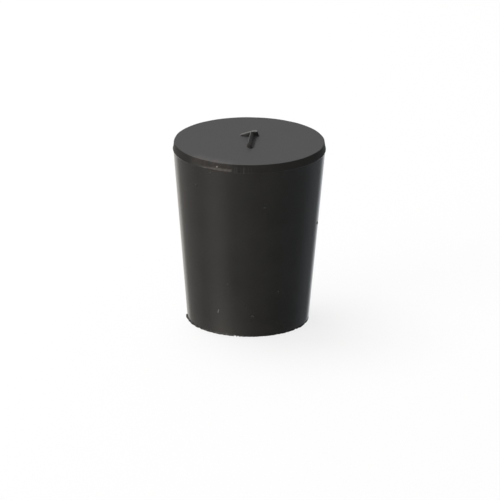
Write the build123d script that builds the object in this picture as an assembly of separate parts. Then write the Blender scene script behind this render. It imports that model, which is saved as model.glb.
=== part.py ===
from build123d import *
import os

# A solid laboratory stopper, moulded in one piece of black rubber. Millimetres, +Z up. It stands on
# its narrow end, and the origin is the centre of that end. The size numeral in the wide end reads
# upright from the -Y side.

# Outside form
base_diameter = 13.1  # narrow end, where the wall meets the face it stands on
parting_diameter = 16.5  # widest, where the mould's cavity plate meets its top plate
height = 20.0  # from the base to the flat of the wide end
land_height = 0.85  # rim above the parting line, formed by the top plate
land_draft = 0.15  # taken off the radius between the parting line and the wide end
face_edge_radius = 0.06  # round where the rim meets the wide end

# Flash left at the narrow end when the moulding was trimmed
base_flash_reach = 0.08
base_flash_thickness = 0.10

# Size numeral, a raised "1" with sloping sides, moulded in the figure cut in the top plate
numeral_height = 4.7  # over the numeral's foot and head, where it meets the wide end
stroke_width = 0.95
numeral_lean = 0.54  # how far the stem's top stands to the right of its foot
numeral_offset = 0.35  # how far the stem's middle lies to the right of the axis
flag_run = 1.30  # how far the flag reaches to the left of the stem's top
flag_drop = 0.70  # how far the flag falls from the stem's top
numeral_relief = 0.50  # above the flat of the wide end
numeral_draft = 22.0  # degrees, on the numeral's sides

base_radius = base_diameter / 2
parting_radius = parting_diameter / 2
face_radius = parting_radius - land_draft
parting_height = height - land_height


def wall_radius(z):
    """Radius of the tapered wall at a height between the base and the parting line."""
    return base_radius + (parting_radius - base_radius) * z / parting_height


def stopper_blank():
    """The plain tapered moulding: its half section turned about Z."""
    flash_radius = base_radius + base_flash_reach
    outline = Polyline(
        (0, 0),
        (flash_radius, 0),
        (flash_radius, base_flash_thickness),
        (wall_radius(base_flash_thickness), base_flash_thickness),
        (parting_radius, parting_height),
        (face_radius, height),
        (0, height),
        close=True,
    )
    half_section = Plane.XZ * make_face(outline)
    blank = revolve(half_section, Axis.Z)
    rim = blank.edges().filter_by(GeomType.CIRCLE).sort_by(Axis.Z)[-1]
    return fillet(rim, face_edge_radius)


def stroke(start, end, width):
    """A round-ended stroke between two points."""
    run = end - start
    middle = (start + end) / 2
    turn = Rot(0, 0, run.get_signed_angle(Vector(1, 0)))
    return Pos(middle.X, middle.Y) * turn * SlotCenterToCenter(run.length, width)


def numeral_one():
    """The size numeral, foot towards -Y, as two drafted strokes that stand on the wide end."""
    stem = (numeral_height - stroke_width) / 2
    head = Vector(numeral_offset + numeral_lean / 2, stem)
    foot = Vector(numeral_offset - numeral_lean / 2, -stem)
    flag_end = head - Vector(flag_run, flag_drop)
    outlines = (stroke(foot, head, stroke_width), stroke(flag_end, head, stroke_width))
    bars = [
        extrude(Pos(0, 0, height) * outline, numeral_relief, taper=numeral_draft)
        for outline in outlines
    ]
    return bars[0] + bars[1]


stopper = stopper_blank() + numeral_one()
stopper.label = "stopper"

os.makedirs("parts", exist_ok=True)
export_step(stopper, "parts/stopper.step")
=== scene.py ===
import math

import bmesh
import bpy
from mathutils import Euler, Matrix, Vector, noise


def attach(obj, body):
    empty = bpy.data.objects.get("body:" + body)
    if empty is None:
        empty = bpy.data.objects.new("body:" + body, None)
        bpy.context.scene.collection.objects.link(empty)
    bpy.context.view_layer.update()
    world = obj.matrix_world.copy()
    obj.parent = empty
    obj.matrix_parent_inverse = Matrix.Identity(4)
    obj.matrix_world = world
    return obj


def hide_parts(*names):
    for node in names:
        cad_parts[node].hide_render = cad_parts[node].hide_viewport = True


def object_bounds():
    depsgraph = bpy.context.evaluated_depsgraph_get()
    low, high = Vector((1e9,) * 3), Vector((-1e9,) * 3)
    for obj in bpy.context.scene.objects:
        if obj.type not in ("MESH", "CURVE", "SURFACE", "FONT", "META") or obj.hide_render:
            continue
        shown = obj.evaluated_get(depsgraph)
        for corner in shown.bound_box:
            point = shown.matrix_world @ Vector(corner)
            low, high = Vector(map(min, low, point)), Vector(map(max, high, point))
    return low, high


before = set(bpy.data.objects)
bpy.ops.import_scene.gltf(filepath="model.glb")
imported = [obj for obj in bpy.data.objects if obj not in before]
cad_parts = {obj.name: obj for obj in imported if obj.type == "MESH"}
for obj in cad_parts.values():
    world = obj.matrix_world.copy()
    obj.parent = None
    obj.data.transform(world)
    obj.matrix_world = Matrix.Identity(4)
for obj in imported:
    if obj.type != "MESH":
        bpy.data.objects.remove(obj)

cad_low, cad_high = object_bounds()

# ---------------------------------------------------------------------------- the moulding
# The stopper is one solid taper of black rubber, pressed hot in a steel mould. The polished cavity
# leaves the wall smooth and slightly glossy, the top plate leaves the rim and the wide end matt,
# and rubber squeezed between the plates leaves thin flash where they met.
mm = 0.001
parting_flash_room = 0.035 * mm  # left outside the parting line for its flash
wall_step = 0.04 * mm  # how far inside the parting line the wall starts
parting_radius = cad_high.x - parting_flash_room
wall_top_radius = parting_radius - wall_step
base_radius = 6.55 * mm
land_height = 0.85 * mm
land_draft = 0.13 * mm
numeral_relief = 0.5 * mm
face_height = cad_high.z - numeral_relief
parting_height = face_height - land_height
face_radius = parting_radius - land_draft
face_edge_round = 0.05 * mm


def wall_radius(z):
    """Radius of the tapered wall at a height."""
    return base_radius + (wall_top_radius - base_radius) * z / parting_height


# How finely the moulding is divided: most near the parting line, the base and the numeral.
outer_steps = 900
middle_steps = 300
middle_cuts = 75
numeral_field = 3.8 * mm  # radius of the finely divided middle of the wide end
flash_zone = 0.5 * mm  # finely divided stretch of wall above the base
land_zone = 0.4 * mm  # finely divided stretch of wall under the parting line
parting_step = 0.06 * mm  # height over which the wall flares out to the parting line
face_zone = 0.5 * mm  # finely divided border of the wide end
doubled = 0.002 * mm  # vertices nearer than this are merged


def turned(chain, steps):
    """A surface turned about Z from a chain of corners (radius, height, cuts up to the next corner)."""
    mesh = bmesh.new()
    verts = [mesh.verts.new((radius, 0, z)) for radius, z, cuts in chain]
    runs = [mesh.edges.new(pair) for pair in zip(verts, verts[1:])]
    for run, (radius, z, cuts) in zip(runs, chain):
        bmesh.ops.subdivide_edges(mesh, edges=[run], cuts=cuts)
    bmesh.ops.spin(mesh, geom=mesh.verts[:] + mesh.edges[:], cent=(0, 0, 0), axis=(0, 0, 1),
                   angle=math.tau, steps=steps, use_merge=True)
    bmesh.ops.remove_doubles(mesh, verts=mesh.verts[:], dist=doubled)
    return mesh


face_edge = [(face_radius - face_edge_round * (1 - math.cos(math.radians(a))),
              face_height - face_edge_round * (1 - math.sin(math.radians(a))), 0) for a in (0, 30, 60)]
flare_height = parting_height - parting_step
fine_wall_height = parting_height - land_zone
body = turned([
    (0, 0, 1),
    (0.9 * base_radius, 0, 3),
    (base_radius, 0, 11),
    (wall_radius(flash_zone), flash_zone, 12),
    (wall_radius(fine_wall_height), fine_wall_height, 5),
    (wall_radius(flare_height), flare_height, 1),
    (parting_radius, parting_height, 22),
    *face_edge,
    (face_radius - face_edge_round, face_height, 5),
    (face_radius - face_zone, face_height, 3),
    (numeral_field, face_height, 0)], outer_steps)
middle = turned([(0, face_height, middle_cuts), (numeral_field, face_height, 0)], middle_steps)
joint = [e for e in middle.edges if e.is_boundary]
bmesh.ops.subdivide_edges(middle, edges=joint, cuts=outer_steps // middle_steps - 1)
middle_mesh = bpy.data.meshes.new("middle")
middle.to_mesh(middle_mesh)
middle.free()
body.from_mesh(middle_mesh)
bpy.data.meshes.remove(middle_mesh)
bmesh.ops.remove_doubles(body, verts=body.verts[:], dist=doubled)
bmesh.ops.recalc_face_normals(body, faces=body.faces[:])

# The size numeral is a raised 1, whose figure was cut by hand in the top plate. Its stem slants down
# to the right, its foot is blunt, and its flag rises like a ramp to the flat cap over the stem's head.
# All of it is in millimetres: points are (x, y) on the wide end, and a section or a slope is a chain
# of (place, height) corners. A section runs from a bar's left or far side to its right or near side.
top = numeral_relief / mm
stem_section = [(-0.46, 0), (-0.32, top), (-0.16, 0.42), (0.02, 0.3), (0.18, 0.08), (0.44, 0)]
flag_section = [(-0.3, 0), (-0.22, top), (0.2, top), (0.6, 0)]
cap_section = [(-0.5, 0), (-0.42, top), (0.2, top), (0.34, 0)]
foot_slope = [(0, 0), (0.3, top)]
head_slope = [(0, 0), (0.15, top)]
flag_slope = [(0, 0), (0.08, 0.12), (1.4, top)]
cap_slope = [(0, 0), (0.15, top)]
join_slope = [(-0.2, 0), (0, top)]
stem_foot, stem_head = Vector((0.09, -2.62)), Vector((0.47, 1.95))
flag_end, flag_top = Vector((-1.04, 1.84)), Vector((0.50, 1.94))
cap_start, cap_end = Vector((0.25, 1.80)), Vector((1.02, 1.86))
stem_blunt, flag_blunt, cap_blunt, far_blunt = 4.2, 2.0, 0.5, 0.5  # how much a bar's ends are rounded
# The cutter polished these stretches of the sections: the stem's left side, and the tops of the rest.
stem_polish, flag_polish, cap_polish = (-0.5, -0.26), (-0.3, 0.21), (-0.46, 0.21)
barely_raised = 0.02
easing_rounds = 2


def height_at(chain, place):
    """Height of a chain of (place, height) corners at a place."""
    if place <= chain[0][0]:
        return chain[0][1]
    for (start, low), (end, high) in zip(chain, chain[1:]):
        if place <= end:
            return low + (high - low) * (place - start) / (end - start)
    return chain[-1][1]


def bar(point, start, end, section, near_slope, far_slope, near_blunt):
    """How high one bar of the numeral stands at a point, and how far the point is off its line."""
    run = end - start
    along = run.normalized()
    side = (point - start).dot(Vector((along.y, -along.x)))
    ahead = (point - start).dot(along)
    near_place = ahead - near_blunt * side * side
    far_place = run.length - ahead - far_blunt * side * side
    stands = min(height_at(section, side), height_at(near_slope, near_place),
                 height_at(far_slope, far_place))
    return stands, side


on_face = face_height - 0.001 * mm  # above this a vertex belongs to the wide end
stands = {}
crest = body.verts.layers.float.new("crest")
for v in body.verts:
    if v.co.z < on_face or v.co.xy.length > numeral_field - 0.01 * mm:
        continue
    point = v.co.xy / mm
    stem, stem_side = bar(point, stem_foot, stem_head, stem_section, foot_slope, head_slope, stem_blunt)
    flag, flag_side = bar(point, flag_end, flag_top, flag_section, flag_slope, join_slope, flag_blunt)
    cap, cap_side = bar(point, cap_start, cap_end, cap_section, join_slope, cap_slope, cap_blunt)
    stands[v] = max(stem, flag, cap)
    if stands[v] == stem:
        v[crest] = stem > barely_raised and stem_polish[0] < stem_side < stem_polish[1]
    elif stands[v] == flag:
        v[crest] = flag_polish[0] < flag_side < flag_polish[1]
    else:
        v[crest] = cap_polish[0] < cap_side < cap_polish[1]
for easing in range(easing_rounds):
    eased = {}
    for v, height in stands.items():
        around = [stands.get(e.other_vert(v), 0) for e in v.link_edges]
        eased[v] = (height + sum(around) / len(around)) / 2
    stands = eased
for v, height in stands.items():
    v.co.z += height * mm


# The flash was torn off by hand, so the edges at the parting line and the base are ragged. A place
# round the stopper is given in degrees from the front, and counts up towards the right.
def smooth(low, high, value):
    """0 up to low, 1 from high, and a smooth rise between."""
    t = min(1, max(0, (value - low) / (high - low)))
    return t * t * (3 - 2 * t)


def fade(low, high, value):
    """1 up to low, 0 from high, and a smooth fall between."""
    return 1 - smooth(low, high, value)


def stretch(start, full, fading, end, value):
    """1 from full to fading, 0 before start and after end, and smooth between."""
    return smooth(start, full, value) * fade(fading, end, value)


def waver(place, turns, seed):
    """Smooth noise round the axis, about -1 to 1. More turns make it finer."""
    angle = math.radians(place)
    at = Vector((turns * math.cos(angle) / 2, turns * math.sin(angle) / 2, seed))
    return 1.6 * noise.noise(at)


def rim_flash(place, above, radius):
    """How far the rim's rubber is shifted outwards, and how pale it is from tearing, a smear and painted
    light, at a height above the parting.
    """
    shift = 0.03 * mm * waver(place, 9, 1.0) * smooth(0.2 * mm, 0.8 * mm, above)
    shift += 0.03 * mm * (0.5 + 0.5 * waver(place, 60, 2.0)) * fade(0, 0.07 * mm, abs(above))
    # a sliver folded up against the rim at the front left, frayed into streaks at its right
    sliver = stretch(-50, -34, -14, -12.5, place)
    climb = (0.16 + 0.18 * smooth(-44, -20, place)) * mm
    climb += (0.03 * waver(place, 50, 3.0) + 0.03 * waver(place, 160, 4.0)) * mm
    fold = smooth(0.02 * mm, 0.05 * mm, above) * fade(climb - 0.08 * mm, climb, above)
    hollow = smooth(climb - 0.02 * mm, climb + 0.03 * mm, above) * fade(0.35 * mm, 0.7 * mm, above)
    shift += sliver * (0.03 * fold - 0.05 * hollow) * mm
    tears_and_painted_light = 0.62 * sliver * fold * (0.75 + 0.35 * waver(place, 60, 7.0))
    streaks = max(0, waver(place, 100, 8.0)) * fade(0.4 * mm, 0.75 * mm, above)
    tears_and_painted_light += 0.34 * stretch(-14, -12, -3, 6, place) * streaks
    # a pale speck just above the sliver, and round it a lighter brown patch on the rim's lit front left:
    # a brown smear and painted light
    off_speck = math.hypot(math.radians(place + 25.1) * radius, above - 0.40 * mm)
    shift += 0.05 * mm * fade(0.03 * mm, 0.10 * mm, off_speck)
    tears_and_painted_light = max(tears_and_painted_light, 2.4 * fade(0.04 * mm, 0.11 * mm, off_speck))
    # painted light and a brown smear: the rim is made lighter and browner on its lit front left
    if above > 0:
        smear_and_painted_light = stretch(-56, -44, -22, -6, place) * (0.13 + 0.05 * waver(place, 40, 9.0))
        tears_and_painted_light = max(tears_and_painted_light, smear_and_painted_light)
    return shift, tears_and_painted_light


base_tongues = [(-86, 7, 0.09), (-67, 2.5, 0.07), (-58, 2, 0.05), (-10, 2, 0.06), (1.5, 1.5, 0.07)]
base_nicks = [(-52, 1.5, 0.08), (-12, 1.2, 0.10), (-9.4, 0.9, 0.08), (51, 1.2, 0.10), (70, 1.5, 0.10)]
longest_tongue = 0.24 * mm


def base_flash(place, z):
    """How far the rubber at the base is shifted outwards and lifted, and how pale it is: torn, with a
    painted highlight at the front left.

    Tongues of flash stand out and nicks are cut up into it: each has a place, a half width in degrees
    and a size in millimetres.
    """
    reach = (0.05 + 0.04 * waver(place, 45, 5.0) + 0.045 * waver(place, 120, 6.0)) * mm
    reach *= 1 - 0.8 * stretch(55, 75, 95, 120, place)  # trimmed closer on the right
    for middle, width, size in base_tongues:
        reach += size * mm * fade(0, width, abs(place - middle))
    thick = (0.10 + 0.04 * waver(place, 90, 10.0) + 0.20 * fade(0, 7, abs(place + 86))) * mm
    groove_top = thick + 0.05 * mm
    shift = min(reach, longest_tongue) * fade(thick, thick + 0.06 * mm, z)
    shift -= 0.03 * mm * smooth(thick, groove_top, z) * fade(groove_top, 0.4 * mm, z)
    lift = 0
    for middle, width, size in base_nicks:
        nick = fade(0.4 * width, width, abs(place - middle))
        lift += nick * size * mm * fade(0, thick + 0.1 * mm, z + lift)
    # the flash at the front left is paler: torn rubber's own colour, and a painted highlight on its lit
    # top
    tears_and_painted_light = 0.3 * stretch(-45, -25, -15, 5, place) if z < thick else 0
    return shift, lift, tears_and_painted_light


painted_highlight_height = 7 * mm  # how far up the wall the painted highlight, a lighter brown patch at the front left, reaches
rim_skirt = 0.1 * mm  # how far below the parting line its flash is ragged
base_skirt = 0.3 * mm  # how far above the base its flash is ragged
plain_middle = 7 * mm  # radius of the wide end that the torn rim doesn't reach
# how pale each vertex is: torn flash, a brown smear and a speck, and painted light on the lit front left
torn_and_painted_light = body.verts.layers.float.new("torn_and_painted_light")
for v in body.verts:
    radius = v.co.xy.length
    if radius < 0.5 * base_radius or (v.co.z > on_face and radius < plain_middle):
        continue
    place = math.degrees(math.atan2(v.co.x, -v.co.y))
    shift, lift = 0, 0
    if v.co.z > parting_height - rim_skirt:
        shift, v[torn_and_painted_light] = rim_flash(place, v.co.z - parting_height, radius)
    elif v.co.z < painted_highlight_height:
        # painted highlight: the wall is made lighter and browner at the front left, most at the base; and
        # it is a little lighter over the lowest 1.5 mm all round
        painted_highlight = stretch(-42, -24, -20, 8, place) * fade(0, painted_highlight_height, v.co.z)
        v[torn_and_painted_light] = 0.10 * painted_highlight + 0.06 * fade(0.1 * mm, 1.5 * mm, v.co.z)
    if v.co.z < base_skirt and radius > base_radius - 0.02 * mm:
        shift, lift, tears_and_painted_light = base_flash(place, v.co.z)
        v[torn_and_painted_light] += tears_and_painted_light
    v.co.xy *= (radius + shift) / radius
    v.co.z += lift

wall, rim, face, figure, flat_crest = range(5)
near_face = 0.02 * mm
for f in body.faces:
    f.smooth = True
    centre = f.calc_center_median()
    if centre.z > face_height + near_face:
        raised_crest = sum(v[crest] for v in f.verts) > 0.5 * len(f.verts)
        f.material_index = flat_crest if raised_crest else figure
    elif centre.z > face_height - near_face or centre.z < near_face:
        f.material_index = face
    elif centre.z > parting_height - 0.03 * mm:
        f.material_index = rim
    else:
        f.material_index = wall

stopper_mesh = bpy.data.meshes.new("stopper_body")
body.to_mesh(stopper_mesh)
body.free()
stopper_body = bpy.data.objects.new("stopper_body", stopper_mesh)
bpy.context.scene.collection.objects.link(stopper_body)


def rubber(name, colour, roughness, grain, grain_size, shine, torn_and_painted_light_colour=(0.17, 0.147, 0.13)):
    """Black rubber: mottled colour and polish, pale torn or rubbed places and painted light, and a fine
    moulded grain.
    """
    material = bpy.data.materials.new(name)
    material.use_nodes = True
    nodes, links = material.node_tree.nodes, material.node_tree.links
    shader = nodes["Principled BSDF"]
    shader.inputs["IOR"].default_value = 1.5
    shader.inputs["Specular IOR Level"].default_value = shine
    place = nodes.new("ShaderNodeTexCoord")

    mottle = nodes.new("ShaderNodeTexNoise")
    mottle.inputs["Scale"].default_value = 350
    mottle.inputs["Detail"].default_value = 5
    links.new(place.outputs["Object"], mottle.inputs["Vector"])
    tone = nodes.new("ShaderNodeValToRGB")
    tone.color_ramp.elements[0].position = 0.3
    tone.color_ramp.elements[0].color = [*(0.85 * c for c in colour), 1]
    tone.color_ramp.elements[1].position = 0.7
    tone.color_ramp.elements[1].color = [*(1.15 * c for c in colour), 1]
    links.new(mottle.outputs["Fac"], tone.inputs["Fac"])

    # pale colour from the torn attribute: torn flash and talc, and also painted light on the lit front
    # left
    torn_and_painted_light_part = nodes.new("ShaderNodeAttribute")
    torn_and_painted_light_part.attribute_name = "torn_and_painted_light"
    frayed_and_painted_light = nodes.new("ShaderNodeMix")
    frayed_and_painted_light.data_type = "RGBA"
    frayed_and_painted_light.clamp_factor = False
    frayed_and_painted_light.inputs["B"].default_value = [*torn_and_painted_light_colour, 1]
    links.new(torn_and_painted_light_part.outputs["Fac"], frayed_and_painted_light.inputs["Factor"])
    links.new(tone.outputs["Color"], frayed_and_painted_light.inputs["A"])
    links.new(frayed_and_painted_light.outputs["Result"], shader.inputs["Base Color"])

    polish = nodes.new("ShaderNodeMapRange")
    polish.inputs["To Min"].default_value = roughness - 0.04
    polish.inputs["To Max"].default_value = roughness + 0.04
    links.new(mottle.outputs["Fac"], polish.inputs["Value"])
    links.new(polish.outputs["Result"], shader.inputs["Roughness"])

    skin = nodes.new("ShaderNodeTexNoise")
    skin.inputs["Scale"].default_value = 1 / grain_size
    skin.inputs["Detail"].default_value = 3
    links.new(place.outputs["Object"], skin.inputs["Vector"])
    bump = nodes.new("ShaderNodeBump")
    bump.inputs["Strength"].default_value = 1
    bump.inputs["Distance"].default_value = grain
    links.new(skin.outputs["Fac"], bump.inputs["Height"])
    links.new(bump.outputs["Normal"], shader.inputs["Normal"])
    return material


# One finish for each part of the mould, in the order of the numbers given to the faces above.
for finish in (
        rubber("polished_rubber", (0.012, 0.0118, 0.0115), roughness=0.18,
               grain=0.001 * mm, grain_size=0.5 * mm, shine=0.5),
        rubber("matt_rim_rubber", (0.0225, 0.0218, 0.0206), roughness=0.55,
               grain=0.01 * mm, grain_size=0.1 * mm, shine=0.13),
        rubber("matt_face_rubber", (0.014, 0.014, 0.0145), roughness=0.6,
               grain=0.004 * mm, grain_size=0.12 * mm, shine=0.43),
        rubber("figure_rubber", (0.019, 0.0187, 0.0172), roughness=0.6,
               grain=0.002 * mm, grain_size=0.12 * mm, shine=0.09),
        rubber("crest_rubber", (0.020, 0.020, 0.019), roughness=0.36,
               grain=0.002 * mm, grain_size=0.12 * mm, shine=0.62)):
    stopper_mesh.materials.append(finish)
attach(stopper_body, "root")
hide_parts("stopper")

# ---------------------------------------------------------------------------- crumbs on the wall
# A few crumbs of trimmed flash cling to the wall. They are the same rubber, some of them pale with
# the talc that the stoppers are packed in, and nothing holds them but static.
crumb_list = [  # place in degrees from the front, height, length and width in mm, and share of talc
    (-45.4, 16.89, 0.30, 0.26, 0.15), (12.8, 15.08, 0.26, 0.30, 0.1), (-18.2, 6.01, 0.20, 0.20, 0.25),
    (-28.1, 2.71, 0.50, 0.17, 0.75), (4.2, 2.38, 0.24, 0.42, 0.2), (-30.3, 18.80, 0.22, 0.24, 0.3),
    (27.7, 5.05, 0.22, 0.22, 0.1), (79.5, 11.23, 0.32, 0.40, 0.0), (150.0, 9.4, 0.30, 0.20, 0.3),
    (-128.0, 13.6, 0.24, 0.20, 0.3)]
thickest_crumb = 0.12
crumbs = bmesh.new()
talc = crumbs.verts.layers.float.new("torn_and_painted_light")
for number, (place, height, length, width, pale) in enumerate(crumb_list):
    grain = bmesh.ops.create_icosphere(crumbs, subdivisions=2, radius=1)["verts"]
    for v in grain:
        v.co *= 1 + 0.5 * noise.noise(2.2 * v.co + Vector((7.0 * number, 3, 5)))
        v[talc] = pale
    size = Vector((width, min(0.4 * width, thickest_crumb), length)) * mm
    lean = Matrix.Rotation(0.35 * math.sin(5 * number), 3, "Y")
    round_to = Matrix.Rotation(math.radians(place), 4, "Z")
    bmesh.ops.scale(crumbs, vec=size / 2, verts=grain)
    bmesh.ops.rotate(crumbs, matrix=lean, verts=grain)
    bmesh.ops.translate(crumbs, vec=Vector((0, -wall_radius(height * mm), height * mm)), verts=grain)
    bmesh.ops.rotate(crumbs, matrix=round_to, verts=grain)
for f in crumbs.faces:
    f.smooth = True
crumb_mesh = bpy.data.meshes.new("flash_crumbs")
crumbs.to_mesh(crumb_mesh)
crumbs.free()
flash_crumbs = bpy.data.objects.new("flash_crumbs", crumb_mesh)
bpy.context.scene.collection.objects.link(flash_crumbs)
crumb_mesh.materials.append(rubber("talced_rubber", (0.026, 0.026, 0.026), roughness=0.8,
                                   grain=0.004 * mm, grain_size=0.03 * mm, shine=0.2,
                                   torn_and_painted_light_colour=(0.17, 0.175, 0.18)))
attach(flash_crumbs, "root")

# ---------------------------------------------------------------------------- the studio
# A plain white floor that takes a soft shadow, under a plain white surround. The surround is
# brightest behind the stopper and on its left, and dimmest on its right.
floor_radius = 1.5
floor_gap = 0.01 * mm  # keeps the floor and the base out of one plane
floor_glow = 0.8  # share of plain white in the floor as the camera sees it
floor_shape = bmesh.new()
disc = bmesh.ops.create_circle(floor_shape, cap_ends=True, radius=floor_radius, segments=96)["verts"]
bmesh.ops.translate(floor_shape, vec=Vector((0, 0, -floor_gap)), verts=disc)
floor_mesh = bpy.data.meshes.new("floor")
floor_shape.to_mesh(floor_mesh)
floor_shape.free()
floor = bpy.data.objects.new("floor", floor_mesh)
bpy.context.scene.collection.objects.link(floor)
floor.visible_glossy = False
paper = bpy.data.materials.new("white_paper")
paper.use_nodes = True
nodes, links = paper.node_tree.nodes, paper.node_tree.links
sheet = nodes["Principled BSDF"]
sheet.inputs["Base Color"].default_value = (0.9, 0.9, 0.9, 1)
sheet.inputs["Roughness"].default_value = 0.9
sheet.inputs["Specular IOR Level"].default_value = 0
seen = nodes.new("ShaderNodeLightPath")
white = nodes.new("ShaderNodeEmission")
share = nodes.new("ShaderNodeMath")
share.operation = "MULTIPLY"
share.inputs[1].default_value = floor_glow
links.new(seen.outputs["Is Camera Ray"], share.inputs[0])
blend = nodes.new("ShaderNodeMixShader")
links.new(share.outputs["Value"], blend.inputs["Fac"])
links.new(sheet.outputs["BSDF"], blend.inputs[1])
links.new(white.outputs["Emission"], blend.inputs[2])
links.new(blend.outputs["Shader"], nodes["Material Output"].inputs["Surface"])
floor_mesh.materials.append(paper)

# The surround: a ring of light and dim screens, with its bearings in degrees from the front. The
# rubber mirrors it, and straight on it is seen as plain white.
world = bpy.data.worlds.new("surround")
bpy.context.scene.world = world
world.use_nodes = True
nodes, links = world.node_tree.nodes, world.node_tree.links
toward = nodes.new("ShaderNodeTexCoord")
parts = nodes.new("ShaderNodeSeparateXYZ")
links.new(toward.outputs["Generated"], parts.inputs["Vector"])
front = nodes.new("ShaderNodeMath")
front.operation = "MULTIPLY"
front.inputs[1].default_value = -1
links.new(parts.outputs["Y"], front.inputs[0])
bearing = nodes.new("ShaderNodeMath")
bearing.operation = "ARCTAN2"
links.new(parts.outputs["X"], bearing.inputs[0])
links.new(front.outputs["Value"], bearing.inputs[1])
turn = nodes.new("ShaderNodeMapRange")
turn.inputs["From Min"].default_value = -math.pi
turn.inputs["From Max"].default_value = math.pi
links.new(bearing.outputs["Value"], turn.inputs["Value"])
ring = nodes.new("ShaderNodeValToRGB")
ring.color_ramp.interpolation = "EASE"
warm, green, cool = Vector((1, 0.97, 0.91)), Vector((0.95, 1, 0.95)), Vector((0.90, 0.95, 1))
screens = [(-180, 1.0, warm), (-153, 0.98, warm), (-141, 0.48, warm), (-92, 0.53, warm),
           (-55, 0.85, warm), (-18, 0.47, warm), (20, 0.32, warm), (60, 0.22, green), (90, 0.22, cool),
           (122, 0.29, cool), (142, 0.24, cool), (150, 0.34, cool), (161, 0.98, cool), (180, 1.0, cool)]
while len(ring.color_ramp.elements) < len(screens):
    ring.color_ramp.elements.new(0.5)
for stop in ring.color_ramp.elements:
    stop.position = 0
for stop, (degrees, level, tint) in zip(ring.color_ramp.elements, screens):
    stop.position = degrees / 360 + 0.5
    stop.color = [*(level * tint), 1]
links.new(turn.outputs["Result"], ring.inputs["Fac"])
seen = nodes.new("ShaderNodeLightPath")
pick = nodes.new("ShaderNodeMix")
pick.data_type = "RGBA"
pick.inputs["B"].default_value = (1, 1, 1, 1)
links.new(seen.outputs["Is Camera Ray"], pick.inputs["Factor"])
links.new(ring.outputs["Color"], pick.inputs["A"])
links.new(pick.outputs["Result"], nodes["Background"].inputs["Color"])


def soft_lamp(name, shape, width, depth, watts, colour, place):
    """A broad lamp that faces the stopper from a place in metres."""
    lamp_data = bpy.data.lights.new(name, "AREA")
    lamp_data.shape = shape
    lamp_data.size = width
    lamp_data.size_y = depth
    lamp_data.energy = watts
    lamp_data.color = colour
    lamp = bpy.data.objects.new(name, lamp_data)
    lamp.location = place
    lamp.rotation_euler = (Vector((0, 0, 0.01)) - lamp.location).to_track_quat("-Z", "Y").to_euler()
    bpy.context.scene.collection.objects.link(lamp)


soft_lamp("overhead", "DISK", 0.35, 0.35, 1.6, (1.0, 0.965, 1.0), (-0.15, 0.12, 0.45))
soft_lamp("window", "RECTANGLE", 0.35, 0.25, 0.8, (1.0, 1.0, 1.0), (-0.45, -0.32, 0.22))

# A long lens from far off, a little above the stopper, with a slight tilt.
sensor = 36.0
camera_data = bpy.data.cameras.new("camera")
camera_data.sensor_width = sensor
camera_data.lens = 18 * sensor
camera_data.clip_end = 10
camera = bpy.data.objects.new("camera", camera_data)
looking_down = math.radians(19.35)
tilt = math.radians(0.449)
distance = 973.668 * mm
aim = Vector((0.154, 2.363, 6.749)) * mm
turned_to = Euler((math.pi / 2 - looking_down, 0, 0)).to_matrix() @ Matrix.Rotation(tilt, 3, "Z")
camera.rotation_euler = turned_to.to_euler()
camera.location = aim + turned_to @ Vector((0, 0, distance))
bpy.context.scene.collection.objects.link(camera)
bpy.context.scene.camera = camera
bpy.context.scene.view_settings.view_transform = "Standard"
